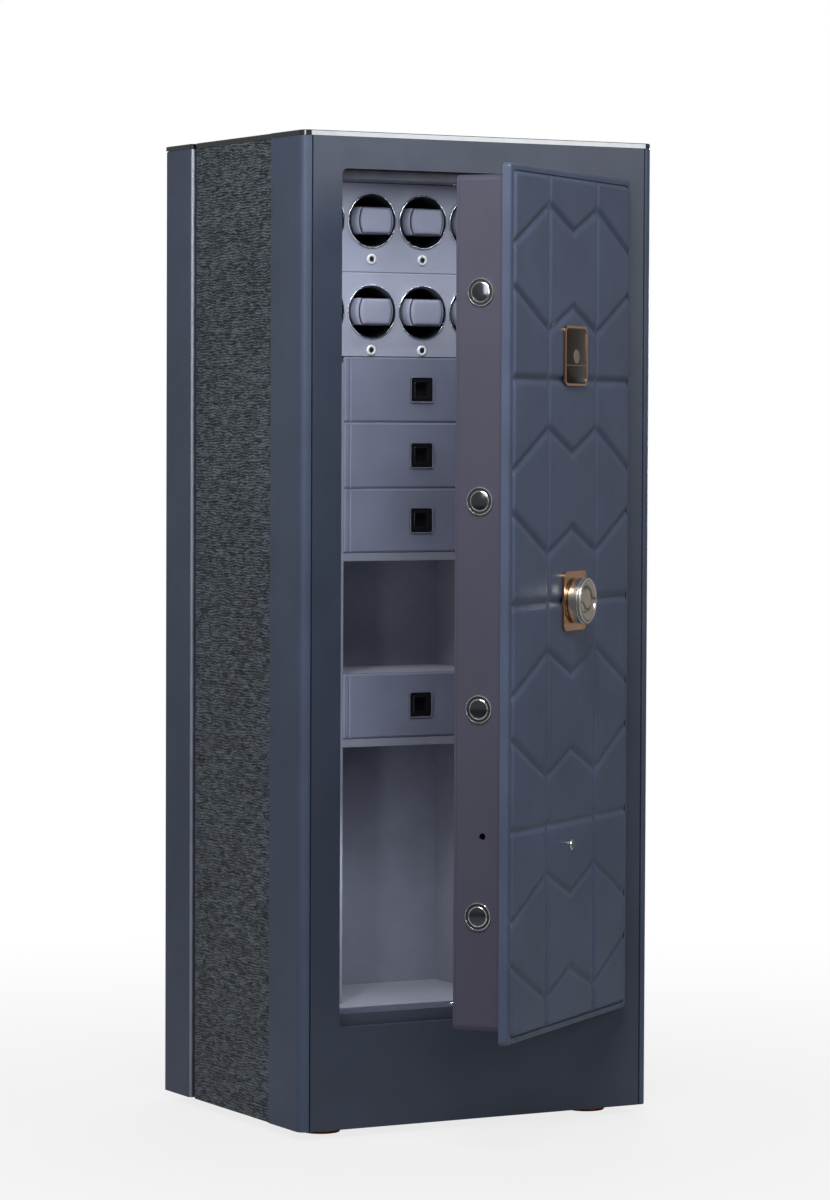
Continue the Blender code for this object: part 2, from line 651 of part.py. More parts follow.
def make_door_panel(door, leather):
    """The leather-covered board with a raised rim round the quilt's bed, bored for the spindle and the key lock."""
    bm = bmesh.new()
    outline = rounded_rectangle(-DOOR_HALF, DOOR_HALF, DOOR_BOTTOM, DOOR_TOP, 0.006, 3)
    face = add_prism(bm, outline, "y", 0.0, PANEL_THICKNESS)[0]
    soften_front(bm, face, RIM_SHOULDER, RIM_RADIUS)
    soften_front(bm, face, RIM_RADIUS - RIM_SHOULDER, RIM_SHOULDER)
    panel = piece("door_panel", bm, leather, door)
    bm = bmesh.new()
    half = DOOR_HALF - RIM_WIDTH
    bed = rounded_rectangle(-half, half, DOOR_BOTTOM + RIM_WIDTH, DOOR_TOP - RIM_WIDTH, BED_RADIUS, 4)
    add_prism(bm, bed, "y", -0.01, RIM_DEPTH)
    cut(panel, bm)
    cut(panel, door_bores(-0.02, 2 * PANEL_THICKNESS))


def door_bores(start, end):
    """Clearance holes for the knob's spindle and the key cylinder."""
    bm = bmesh.new()
    add_turned(bm, rod(0.0070, start, end), (0.0, DOOR_MIDDLE_Z), "y", 16)
    add_turned(bm, rod(0.0066, start, end), (0.0, KEY_Z), "y", 16)
    return bm


def quilt_cells():
    """The cells between the quilting's seams, as outlines that run anticlockwise seen from the front."""
    edge, column = QUILT_HALF, QUILT_COLUMN
    cells = []
    for row in range(QUILT_ROWS):
        start = DOOR_MIDDLE_Z + ROW_PITCH * (QUILT_ROWS / 2 - row)
        top = min(start, QUILT_TOP)
        bottom = max(start - ROW_PITCH, QUILT_BOTTOM)
        upper = [start - ROW_PITCH * s for s in (ZIGZAG_AT_EDGE, ZIGZAG_AT_COLUMN, ZIGZAG_AT_CENTRE)]
        lower = [2 * start - ROW_PITCH - z for z in upper]
        levels = ((top, top, top), upper, lower, (bottom, bottom, bottom))
        for above, below in zip(levels, levels[1:]):
            right = [(column, below[1]), (edge, below[0]), (edge, above[0]), (column, above[1])]
            cells.append(right)
            cells.append(mirrored(right, -1)[::-1])
            bend_below = [(0.0, below[2])] if below[2] != below[1] else []
            bend_above = [(0.0, above[2])] if above[2] != above[1] else []
            cells.append([(-column, below[1]), *bend_below, (column, below[1]),
                          (column, above[1]), *bend_above, (-column, above[1])])
    return cells


def make_door_quilt(door, leather):
    """The padded leather: every cell swells in steps between seams that stay low, over a flat back."""
    bm = bmesh.new()
    corners = {}
    for cell in quilt_cells():
        loop = []
        for x, z in cell:
            key = (round(x, 6), round(z, 6))
            if key not in corners:
                corners[key] = bm.verts.new((x, QUILT_SEAM_Y, z))
            loop.append(corners[key])
        bm.faces.new(loop)
    pads = bm.faces[:]
    for width, rise in PAD_STEPS:
        bmesh.ops.inset_individual(bm, faces=pads, thickness=width, depth=rise, use_even_offset=True)
    border = [e for e in bm.edges if e.is_boundary]
    skirt = bmesh.ops.extrude_edge_only(bm, edges=border)["geom"]
    back = {g for g in skirt if isinstance(g, bmesh.types.BMVert)}
    for vertex in back:
        vertex.co.y = RIM_DEPTH - FIT_GAP
    hem = [e for e in bm.edges if e.verts[0] in back and e.verts[1] in back]
    bmesh.ops.holes_fill(bm, edges=hem, sides=0)
    quilt = piece("door_quilt", bm, leather, door)
    bm = bmesh.new()
    corner = BED_RADIUS - RIM_GROOVE
    trimmed = rounded_rectangle(-QUILT_HALF, QUILT_HALF, QUILT_BOTTOM, QUILT_TOP, corner, 4)
    add_prism(bm, trimmed, "y", -0.02, 0.02)
    combine(quilt, bm, "INTERSECT")
    cut(quilt, door_bores(-0.03, 0.03))


def make_plug(door, plug_paint):
    """The steel plug: a deep pan with bossed holes for the bolts, shut by a flat cover at the back."""
    front = PANEL_THICKNESS + FIT_GAP
    bm = bmesh.new()
    outline = rounded_rectangle(-PLUG_HALF, PLUG_HALF, PLUG_BOTTOM, PLUG_TOP, PLUG_RADIUS)
    add_prism(bm, outline, "y", front, PLUG_COVER_Y)
    shell = piece("plug_shell", bm, plug_paint, door)
    bm = bmesh.new()
    inner = PLUG_HALF - PLUG_WALL
    add_box(bm, (-inner, front + 0.006, PLUG_BOTTOM + PLUG_WALL), (inner, 0.1, PLUG_TOP - PLUG_WALL))
    cut(shell, bm)
    bm = bmesh.new()
    for z in BOLT_ROWS_Z:
        boss = ((0.0, -PLUG_HALF + 0.002), (BUSH_RADIUS, -PLUG_HALF + 0.002), (BUSH_RADIUS, -PLUG_HALF - 0.001),
                (BUSH_RADIUS - 0.001, -PLUG_HALF - BUSH_FACE), (0.0, -PLUG_HALF - BUSH_FACE))
        add_turned(bm, boss, (BOLT_Y, z), "x", 24)
    join(shell, bm)
    bm = door_bores(0.0, 0.030)
    for z in BOLT_ROWS_Z:
        add_turned(bm, rod(BOLT_RADIUS + 0.0004, -PLUG_HALF - 0.01, -PLUG_HALF + 0.02), (BOLT_Y, z), "x", 24)
    add_turned(bm, rod(0.005, -PLUG_HALF - 0.01, -PLUG_HALF + 0.02), (BOLT_Y - 0.006, KEY_Z + 0.029), "x", 12)
    cut(shell, bm)
    bm = bmesh.new()
    square = [(-PLUG_HALF, PLUG_BOTTOM), (PLUG_HALF, PLUG_BOTTOM), (PLUG_HALF, PLUG_TOP), (-PLUG_HALF, PLUG_TOP)]
    back = add_prism(bm, square, "y", PLUG_COVER_Y + FIT_GAP, PLUG_BACK_Y)[1]
    bmesh.ops.inset_region(bm, faces=[back], thickness=0.018, use_even_offset=True)
    bmesh.ops.inset_region(bm, faces=[back], thickness=0.002, depth=-0.0015, use_even_offset=True)
    cover = piece("plug_back_cover", bm, plug_paint, door)
    bm = bmesh.new()
    add_prism(bm, outline, "y", PLUG_COVER_Y - 0.01, PLUG_BACK_Y + 0.01)
    combine(cover, bm, "INTERSECT")


def make_hinge_arms(door, steel):
    """Goosenecks that reach from the plug's side round the fascia's edge to the hinge pins."""
    bar = 0.006
    leg_y = HINGE_Y + 0.045
    root = PLUG_HALF + FIT_GAP
    outline = [
        *arc((HINGE_X, HINGE_Y), 0.008, 180 + 40, 360 - 40, 6),
        (HINGE_X + bar, HINGE_Y + 0.005),
        *arc((HINGE_X - 0.004, leg_y - 0.004), bar + 0.004, 0, 90, 4),
        (root + 0.003, leg_y + bar),
        (root + 0.003, leg_y + bar + 0.003),
        (root, leg_y + bar + 0.003),
        (root, leg_y - bar - 0.012),
        (root + 0.003, leg_y - bar - 0.012),
        (root + 0.003, leg_y - bar),
        (HINGE_X - bar - 0.004, leg_y - bar),
        (HINGE_X - bar, leg_y - bar - 0.004),
        (HINGE_X - bar, HINGE_Y + 0.005),
    ]
    for name, z in zip(("lower", "upper"), HINGE_CENTRES_Z):
        bm = bmesh.new()
        add_prism(bm, outline, "z", z - 0.020, z + 0.020)
        arm = piece(f"{name}_hinge_arm", bm, steel, door)
        bm = bmesh.new()
        add_turned(bm, rod(0.0053, z - 0.03, z + 0.03), (HINGE_X, HINGE_Y), "z", 20)
        cut(arm, bm)


def make_hinge_brackets(cabinet, steel):
    """Forked brackets in the frame's pockets, each with its pin."""
    wall = POCKET_RIGHT - FIT_GAP
    inside = wall - 0.001
    lug = [*arc((HINGE_X, HINGE_Y), 0.008, 90, 270, 8), (inside, HINGE_Y - 0.008), (inside, HINGE_Y + 0.008)]
    for name, z in zip(("lower", "upper"), HINGE_CENTRES_Z):
        bm = bmesh.new()
        add_box(bm, (HINGE_X + 0.0086, HINGE_Y - 0.007, z - 0.0335), (wall, POCKET_BACK_Y - 0.0005, z + 0.0335))
        bracket = piece(f"{name}_hinge_bracket", bm, steel, cabinet)
        bm = bmesh.new()
        for low in (z - 0.0330, z + 0.0205):
            add_prism(bm, lug, "z", low, low + 0.0125)
        join(bracket, bm)
        bm = bmesh.new()
        add_turned(bm, rod(0.0050, z - 0.0325, z + 0.0325), (HINGE_X, HINGE_Y), "z", 20)
        join(bracket, bm)


def rack_teeth():
    """The lower edge of the rack from right to left, with a tooth over the spindle."""
    pitch = math.pi * PINION_MODULE
    line = DOOR_MIDDLE_Z + PINION_RADIUS
    tip, root = line - 0.9 * PINION_MODULE, line + 1.15 * PINION_MODULE
    tooth = TOOTH_SHARE * pitch / 2
    slope = math.tan(math.radians(20))
    points = []
    for i in range(5, -3, -1):
        x = i * pitch
        at_root = tooth + slope * (root - line)
        at_tip = tooth - slope * (line - tip)
        points += [(x + at_root, root), (x + at_tip, tip), (x - at_tip, tip), (x - at_root, root)]
    return points


def make_bolt_carriage(door, chrome):
    """Four round bolts on the toothed bar that throws them together."""
    face = -PLUG_HALF - BUSH_FACE
    near = -0.150
    thickness = 0.012
    teeth = rack_teeth()
    arm_low, arm_top = teeth[0][1], DOOR_MIDDLE_Z + PINION_RADIUS + 0.018
    right = teeth[0][0] + 0.004
    low, high = BOLT_ROWS_Z[0] - 0.025, BOLT_ROWS_Z[-1] + 0.025
    outline = [
        (near, low), (near + thickness, low), (near + thickness, arm_low),
        *teeth[::-1],
        (right, arm_low), (right, arm_top), (near + thickness, arm_top), (near + thickness, high), (near, high),
    ]
    bm = bmesh.new()
    add_prism(bm, outline, "y", *RACK_Y)
    carriage = piece("bolt_carriage", bm, chrome, door, (near, BOLT_Y, DOOR_MIDDLE_Z))
    bm = bmesh.new()
    for z in BOLT_ROWS_Z:
        tail = near + thickness / 2
        bolt = ((0.0, face), (BOLT_RADIUS - 0.0015, face), (BOLT_RADIUS, face + 0.0015), (BOLT_RADIUS, tail),
                (0.0, tail))
        add_turned(bm, bolt, (BOLT_Y, z), "x", 24)
    join(carriage, bm)


def pinion_outline():
    """Straight-flanked teeth, with a gap at the top where a rack tooth sits."""
    pitch = 2 * math.pi / PINION_TEETH
    root, tip = PINION_RADIUS - 1.15 * PINION_MODULE, PINION_RADIUS + 0.9 * PINION_MODULE
    points = []
    for i in range(PINION_TEETH):
        middle = math.pi / 2 + pitch * (i + 0.5)
        for radius, share in ((root, 0.66), (PINION_RADIUS, TOOTH_SHARE), (tip, 0.16),
                              (tip, -0.16), (PINION_RADIUS, -TOOTH_SHARE), (root, -0.66)):
            a = middle - share * pitch / 2
            points.append((radius * math.cos(a), DOOR_MIDDLE_Z + radius * math.sin(a)))
    return points


def make_knob(door, nickel, copper, steel):
    """A dished knob on a square plate, with the spindle and pinion behind it."""
    origin = (0.0, BOLT_Y, DOOR_MIDDLE_Z)
    back = PAD_FACE_Y - FIT_GAP
    plate_front = back - PLATE_THICKNESS
    make_plate("knob_plate", DOOR_MIDDLE_Z, back, door, copper, 0.0068)
    rear = plate_front - FIT_GAP
    face = rear - KNOB_DEPTH
    r = KNOB_RADIUS
    profile = (
        (0.0, rear), (r - 0.0035, rear), (r - 0.0035, rear - 0.0015), (r - 0.0005, rear - 0.0020), (r, rear - 0.0030),
        (r, face + 0.0056), (r - 0.0012, face + 0.0050), (r - 0.0012, face + 0.0042), (r, face + 0.0036),
        (r, face + 0.0022), (r - 0.0020, face), (r - 0.0060, face), (r - 0.0085, face + 0.0030),
        (r - 0.0160, face + 0.0045), (r - 0.0175, face + 0.0020), (r - 0.0230, face + 0.0015), (0.0, face + 0.0010),
    )
    bm = bmesh.new()
    add_turned(bm, profile, (0.0, DOOR_MIDDLE_Z), "y", 32)
    piece("knob", bm, nickel, door, origin)
    bm = bmesh.new()
    add_prism(bm, pinion_outline(), "y", *RACK_Y)
    spindle = piece("knob_spindle", bm, steel, door, origin)
    bm = bmesh.new()
    add_turned(bm, rod(0.0062, rear + FIT_GAP, RACK_Y[1] + 0.010), (0.0, DOOR_MIDDLE_Z), "y", 16)
    join(spindle, bm)


def make_plate(name, z, back, door, material, bore=0.0):
    """A rounded square plate with a raised rim round a sunk field."""
    outline = rounded_rectangle(-PLATE_HALF_WIDTH, PLATE_HALF_WIDTH, z - PLATE_HALF_HEIGHT, z + PLATE_HALF_HEIGHT,
                                0.010, 5)
    bm = bmesh.new()
    face = add_prism(bm, outline, "y", back - PLATE_THICKNESS, back)[0]
    bmesh.ops.inset_region(bm, faces=[face], thickness=0.0032, use_even_offset=True)
    bmesh.ops.inset_region(bm, faces=[face], thickness=0.0006, depth=-0.0008, use_even_offset=True)
    plate = piece(name, bm, material, door)
    if bore:
        bm = bmesh.new()
        add_turned(bm, rod(bore, back - 0.02, back + 0.02), (0.0, z), "y", 16)
        cut(plate, bm)
    return plate


def make_reader(door, copper):
    """The fingerprint reader: a plate like the knob's, with a round sensor on its field."""
    back = PAD_FACE_Y - FIT_GAP
    field = back - PLATE_THICKNESS + 0.0008
    plate = make_plate("reader_plate", READER_Z, back, door, copper)
    bm = bmesh.new()
    sensor = ((0.0, field + 0.001), (0.0105, field + 0.001), (0.0105, field - 0.0004), (0.0095, field - 0.0008),
              (0.0085, field - 0.0004), (0.0, field - 0.0004))
    add_turned(bm, sensor, (0.0, READER_Z - 0.001), "y", 20)
    join(plate, bm)


def make_key_lock(door, chrome):
    """An override lock: a cylinder with a flanged head that turns, with its keyway."""
    back = PAD_FACE_Y - FIT_GAP
    face = back - 0.0020
    profile = ((0.0, face), (0.0070, face), (0.0082, back - 0.0010), (0.0082, back), (0.0058, back), (0.0058, 0.030),
               (0.0, 0.030))
    bm = bmesh.new()
    add_turned(bm, profile, (0.0, KEY_Z), "y", 20)
    cylinder = piece("key_cylinder", bm, chrome, door, (0.0, face, KEY_Z))
    bm = bmesh.new()
    add_box(bm, (-0.0007, face - 0.01, KEY_Z - 0.0035), (0.0007, face + 0.008, KEY_Z + 0.0035))
    cut(cylinder, bm)


def main():
    clear_scene()
    cabinet = pivot("cabinet", (0.0, CABINET_SHIFT_Y, 0.0))
    door = pivot("door_hinge_axis", (HINGE_X, HINGE_Y, 0.0), cabinet, DOOR_AJAR)

    leather = paint("slate_leather", (0.060, 0.073, 0.103), 0.48)
    grain = paint("rippled_leather", (0.035, 0.039, 0.048), 0.60)
    suede = paint("grey_suede", (0.21, 0.22, 0.27), 0.90)
    drawer_leather = paint("drawer_leather", (0.15, 0.16, 0.22), 0.55)
    pillow_leather = paint("pillow_leather", (0.30, 0.31, 0.38), 0.60)
    chrome = paint("chrome", (0.82, 0.83, 0.84), 0.10, 1.0)
    steel = paint("bright_steel", (0.50, 0.50, 0.51), 0.30, 1.0)
    nickel = paint("satin_nickel", (0.55, 0.53, 0.48), 0.28, 1.0)
    copper = paint("rose_gold", (0.50, 0.31, 0.19), 0.25, 1.0)
    black = paint("black_plastic", (0.012, 0.012, 0.014), 0.45)
    gloss = paint("black_gloss", (0.010, 0.010, 0.013), 0.12)
    plug_paint = paint("plug_paint", (0.085, 0.080, 0.110), 0.55)

    make_steel_body(cabinet)
    make_door_frame(cabinet)
    make_front_fascia(cabinet, leather)
    make_side_cladding(cabinet, leather, grain)
    make_top_plate(cabinet)
    make_feet(cabinet)

    make_lining(cabinet, suede)
    make_tower(cabinet, suede)
    for number, (bottom, top) in enumerate(zip(DRAWER_BOTTOMS_Z, DRAWER_TOPS_Z), 1):
        make_drawer(number, bottom, top, cabinet, drawer_leather, gloss)
    make_winder_bank(cabinet, drawer_leather, chrome, black)
    for row, column, x, z in winder_centres():
        make_winder_rotor(row, column, x, z, cabinet, pillow_leather)
        make_winder_button(row, column, x, z, cabinet, black)

    make_door_panel(door, leather)
    make_door_quilt(door, leather)
    make_plug(door, plug_paint)
    make_hinge_arms(door, steel)
    make_hinge_brackets(cabinet, steel)
    make_bolt_carriage(door, chrome)
    make_knob(door, nickel, copper, steel)
    make_reader(door, copper)
    make_key_lock(door, chrome)


main()
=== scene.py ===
"""Looks for the leather-clad safe: leathers, quilting, watch pillows, trim, light and camera."""

import math

import bmesh
import bpy
from mathutils import Matrix, Vector, noise


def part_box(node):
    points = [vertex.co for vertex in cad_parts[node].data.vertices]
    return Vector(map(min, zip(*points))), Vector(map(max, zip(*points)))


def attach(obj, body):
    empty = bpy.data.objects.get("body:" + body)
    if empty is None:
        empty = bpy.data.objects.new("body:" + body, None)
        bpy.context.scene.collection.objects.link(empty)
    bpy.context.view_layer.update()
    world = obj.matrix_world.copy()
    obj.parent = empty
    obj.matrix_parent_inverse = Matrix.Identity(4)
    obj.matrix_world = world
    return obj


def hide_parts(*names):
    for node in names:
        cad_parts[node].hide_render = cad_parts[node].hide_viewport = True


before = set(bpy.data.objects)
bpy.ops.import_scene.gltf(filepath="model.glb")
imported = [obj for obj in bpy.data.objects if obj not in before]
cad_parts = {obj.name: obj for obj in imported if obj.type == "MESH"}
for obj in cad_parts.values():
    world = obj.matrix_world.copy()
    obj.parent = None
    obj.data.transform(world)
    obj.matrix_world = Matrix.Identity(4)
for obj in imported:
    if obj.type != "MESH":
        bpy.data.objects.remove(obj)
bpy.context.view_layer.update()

# The cabinet frame: front face at y = 0, and the door drawn shut
SHIFT_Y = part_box("front_fascia")[0][1]
HINGE = Vector((0.2695, 0.0165, 0.0))
AJAR = math.radians(37.0)
CABINET = Matrix.Translation((0.0, SHIFT_Y, 0.0))
DOOR = CABINET @ Matrix.Translation(HINGE) @ Matrix.Rotation(AJAR, 4, "Z") @ Matrix.Translation(-HINGE)
DOOR_MIDDLE_Z = 0.8025
FACE_Y = 0.187
WINDERS = [(r, c, 0.0885 * (c - 3), z) for r, z in ((1, 1.374), (2, 1.235)) for c in range(1, 6)]
BOLTS_Z = [DOOR_MIDDLE_Z + 0.3 * (i - 1.5) for i in range(4)]
BOLT_Y, BUSH_FACE_X = 0.049, -0.228
BUTTON_DROP = 0.0585
DRAWERS = ((1, 1.0660, 1.1665), (2, 0.9645, 1.0655), (3, 0.8655, 0.9640), (4, 0.5795, 0.6795))


# Materials


class Shader:
    """A Principled material with helpers for the few procedural nodes used here."""

    def __init__(self, name, colour, roughness, metallic=0.0, **sockets):
        self.material = bpy.data.materials.new(name)
        self.material.use_nodes = True
        self.nodes = self.material.node_tree.nodes
        self.links = self.material.node_tree.links
        self.shader = self.nodes["Principled BSDF"]
        self.shader.inputs["Base Color"].default_value = (*colour, 1.0)
        self.shader.inputs["Roughness"].default_value = roughness
        self.shader.inputs["Metallic"].default_value = metallic
        for socket, value in sockets.items():
            self.shader.inputs[socket.replace("_", " ")].default_value = value
        self.position = self.nodes.new("ShaderNodeTexCoord").outputs["Object"]

    def stretched(self, x, y, z):
        mapping = self.nodes.new("ShaderNodeMapping")
        mapping.inputs["Scale"].default_value = (x, y, z)
        self.links.new(self.position, mapping.inputs["Vector"])
        return mapping.outputs["Vector"]

    def noise(self, scale, detail=2.0, rough=0.5, distortion=0.0, vector=None):
        node = self.nodes.new("ShaderNodeTexNoise")
        node.inputs["Scale"].default_value = scale
        node.inputs["Detail"].default_value = detail
        node.inputs["Roughness"].default_value = rough
        node.inputs["Distortion"].default_value = distortion
        self.links.new(vector or self.position, node.inputs["Vector"])
        return node.outputs["Fac"]

    def cells(self, scale):
        node = self.nodes.new("ShaderNodeTexVoronoi")
        node.inputs["Scale"].default_value = scale
        self.links.new(self.position, node.inputs["Vector"])
        return node.outputs["Distance"]

    def ramp(self, factor, *stops):
        node = self.nodes.new("ShaderNodeValToRGB")
        elements = node.color_ramp.elements
        while len(elements) < len(stops):
            elements.new(0.5)
        for element, (place, colour) in zip(elements, stops):
            element.position = place
            element.color = (*colour, 1.0)
        self.links.new(factor, node.inputs["Fac"])
        return node.outputs["Color"]

    def span(self, factor, low, high, start=0.0, end=1.0):
        node = self.nodes.new("ShaderNodeMapRange")
        node.inputs["From Min"].default_value = start
        node.inputs["From Max"].default_value = end
        node.inputs["To Min"].default_value = low
        node.inputs["To Max"].default_value = high
        self.links.new(factor, node.inputs["Value"])
        return node.outputs["Result"]

    def sum(self, a, b, operation="ADD"):
        node = self.nodes.new("ShaderNodeMath")
        node.operation = operation
        for socket, value in zip(node.inputs, (a, b)):
            if isinstance(value, (int, float)):
                socket.default_value = value
            else:
                self.links.new(value, socket)
        return node.outputs["Value"]

    def colour(self, output):
        self.links.new(output, self.shader.inputs["Base Color"])
        return self

    def roughness(self, output):
        self.links.new(output, self.shader.inputs["Roughness"])
        return self

    def bump(self, height, strength, distance):
        node = self.nodes.new("ShaderNodeBump")
        node.inputs["Strength"].default_value = strength
        node.inputs["Distance"].default_value = distance
        self.links.new(height, node.inputs["Height"])
        self.links.new(node.outputs["Normal"], self.shader.inputs["Normal"])
        return self


def linear(r, g, b):
    """A colour given as 0 to 255 display values."""
    return tuple(((v / 255 + 0.055) / 1.055) ** 2.4 if v > 10 else v / 255 / 12.92 for v in (r, g, b))


def shade(colour, factor):
    return tuple(v * factor for v in colour)


def leather(name, colour, grain=1100.0, rough=0.44, relief=0.25, variation=0.10):
    """Smooth hide: pebbled pores, faint mottling and patches that are a little drier."""
    m = Shader(name, colour, rough, Specular_IOR_Level=0.36, Coat_Weight=0.04, Coat_Roughness=0.35)
    mottle = m.noise(9.0, 3.0)
    m.colour(m.ramp(mottle, (0.30, shade(colour, 1 - variation)), (0.70, shade(colour, 1 + variation))))
    m.roughness(m.span(m.noise(38.0, 3.0), rough - 0.03, rough + 0.03, 0.3, 0.7))
    pores = m.sum(m.cells(grain), m.sum(m.noise(grain * 2.2, 2.0), 0.35, "MULTIPLY"))
    return m.bump(pores, relief, 0.0004).material


def rippled_leather(name):
    """Embossed hide: fine wavy ridges that run across the panel and break into dashes, with painted shade in
    the hollows and painted highlight on the crests.
    """
    dark, mid, pale = linear(22, 26, 32), linear(56, 62, 70), linear(106, 115, 123)
    m = Shader(name, mid, 0.50, Specular_IOR_Level=0.40)
    flow = m.nodes.new("ShaderNodeTexWave")
    flow.wave_type = "BANDS"
    flow.bands_direction = "Z"
    for socket, value in (("Scale", 74.0), ("Distortion", 9.0), ("Detail", 2.0), ("Detail Scale", 0.8),
                          ("Detail Roughness", 0.5)):
        flow.inputs[socket].default_value = value
    m.links.new(m.stretched(1.0, 0.6, 1.0), flow.inputs["Vector"])
    dashes = m.noise(1.0, 2.0, 0.55, 0.8, m.stretched(52.0, 64.0, 205.0))
    height = m.sum(m.sum(flow.outputs["Fac"], 0.26, "MULTIPLY"), m.sum(dashes, 1.05, "MULTIPLY"))
    height = m.sum(height, m.sum(m.noise(6.0, 2.0), 0.12, "MULTIPLY"))
    # The colour follows the ripple height: painted shade in the hollows, painted highlight on the crests.
    m.colour(m.ramp(m.span(height, 0.0, 1.0, 0.44, 0.98), (0.10, dark), (0.42, mid), (0.95, pale)))
    m.roughness(m.span(dashes, 0.60, 0.42, 0.3, 0.7))
    return m.bump(m.sum(height, m.sum(m.cells(900.0), 0.05, "MULTIPLY")), 0.70, 0.0020).material


def suede(name, colour):
    m = Shader(name, colour, 0.88, Specular_IOR_Level=0.25, Sheen_Weight=0.35, Sheen_Roughness=0.5)
    nap = m.noise(14.0, 4.0, 0.6)
    m.colour(m.ramp(nap, (0.30, shade(colour, 0.90)), (0.70, shade(colour, 1.10))))
    m.roughness(m.span(nap, 0.80, 0.96, 0.3, 0.7))
    return m.bump(m.noise(1500.0, 2.0), 0.25, 0.0004).material


def coated(name, colour, rough=0.42):
    """Powder coat with a fine orange-peel surface."""
    m = Shader(name, colour, rough, Specular_IOR_Level=0.45)
    cloud = m.noise(6.0, 3.0)
    m.colour(m.ramp(cloud, (0.3, shade(colour, 0.93)), (0.7, shade(colour, 1.07))))
    m.roughness(m.span(m.noise(60.0, 2.0), rough - 0.05, rough + 0.06, 0.3, 0.7))
    return m.bump(m.noise(520.0, 2.0), 0.10, 0.0003).material


def metal(name, colour, rough, spread=0.04, brushed=None, relief=0.05):
    """Bare metal: smudges in its roughness, and brush lines where it has them."""
    m = Shader(name, colour, rough, 1.0)
    smudge = m.noise(45.0, 4.0, 0.6)
    m.roughness(m.span(smudge, max(rough - spread, 0.02), rough + spread, 0.3, 0.7))
    m.colour(m.ramp(m.noise(18.0, 2.0), (0.3, shade(colour, 0.95)), (0.7, colour)))
    lines = m.noise(1.0, 3.0, 0.6, 0.0, m.stretched(*brushed)) if brushed else m.noise(700.0, 2.0)
    return m.bump(lines, relief, 0.0002).material


def plastic(name, colour, rough, texture=0.08, specular=0.5):
    m = Shader(name, colour, rough, Specular_IOR_Level=specular)
    m.roughness(m.span(m.noise(70.0, 3.0), rough - 0.04, rough + 0.06, 0.3, 0.7))
    m.colour(m.ramp(m.noise(20.0, 2.0), (0.3, shade(colour, 0.92)), (0.7, shade(colour, 1.08))))
    return m.bump(m.noise(900.0, 2.0), texture, 0.0002).material


def satin(name, colour, rough):
    """Half-matt plating whose near-white colour is a painted reflection of the lamps in polished chrome."""
    m = Shader(name, colour, rough, 0.35)
    m.roughness(m.span(m.noise(60.0, 3.0), rough - 0.05, rough + 0.05, 0.3, 0.7))
    m.colour(m.ramp(m.noise(20.0, 2.0), (0.3, shade(colour, 0.95)), (0.7, colour)))
    return m.bump(m.noise(900.0, 2.0), 0.05, 0.0002).material


SLATE = leather("slate_leather", linear(67, 78, 99), rough=0.36)
FASCIA = leather("fascia_leather", linear(58, 66, 82), rough=0.32)
DOOR_LEATHER = leather("door_leather", linear(72, 83, 107), rough=0.42)
RIPPLED = rippled_leather("rippled_leather")
DRAWER_LEATHER = leather("drawer_leather", linear(108, 113, 133), grain=900.0, rough=0.50, relief=0.35)
WINDER_LEATHER = leather("winder_leather", linear(143, 147, 164), grain=1000.0, rough=0.52)
PILLOW_LEATHER = leather("pillow_leather", linear(128, 132, 150), grain=1300.0, rough=0.55)
SEAM_LEATHER = leather("seam_leather", linear(62, 65, 78), grain=1300.0, rough=0.55)
SUEDE = suede("grey_suede", linear(116, 119, 134))
PLUG = coated("plug_paint", linear(66, 65, 82), 0.52)
FRAME_PAINT = coated("frame_paint", linear(66, 69, 86), 0.45)
BODY_PAINT = coated("body_paint", linear(60, 64, 72), 0.55)
# Button collars: polished chrome drawn as near-white satin, a painted reflection of the lamps.
WHITE_PAINTED_REFLECTION = satin("satin_painted_reflection", linear(236, 237, 240), 0.30)
CHROME = metal("chrome", linear(228, 229, 232), 0.06, 0.03)
# Chrome with its colour darkened: a painted dark reflection, used for the window flares and bolt faces.
CHROME_PAINTED_DARK = metal("chrome_painted_dark_reflection", linear(92, 96, 102), 0.12, 0.04)
MIRROR = metal("mirror_steel", linear(96, 98, 100), 0.11, 0.03)
NICKEL = metal("satin_nickel", linear(224, 221, 212), 0.26, 0.06, (60.0, 900.0, 60.0), 0.10)
NICKEL_FACE = metal("turned_nickel", linear(206, 196, 182), 0.12, 0.04)
ROSE_GOLD = metal("rose_gold", linear(212, 166, 130), 0.16, 0.05)
STRIP = metal("strip_steel", linear(150, 153, 166), 0.42, 0.06)
STEEL = metal("bright_steel", linear(168, 170, 174), 0.30, 0.06, (80.0, 80.0, 900.0), 0.12)
COPPER = metal("copper_foot", linear(236, 124, 52), 0.40, 0.08)
BLACK = plastic("black_plastic", linear(18, 18, 20), 0.42)
GLOSS = plastic("black_gloss", linear(20, 20, 26), 0.10, 0.02)
GLASS = plastic("reader_glass", linear(38, 28, 22), 0.16, 0.01, 0.22)
PULL_EDGE = plastic("pull_edge", linear(120, 124, 138), 0.24, 0.03)
SENSOR = plastic("sensor_face", linear(118, 107, 103), 0.38, 0.05)

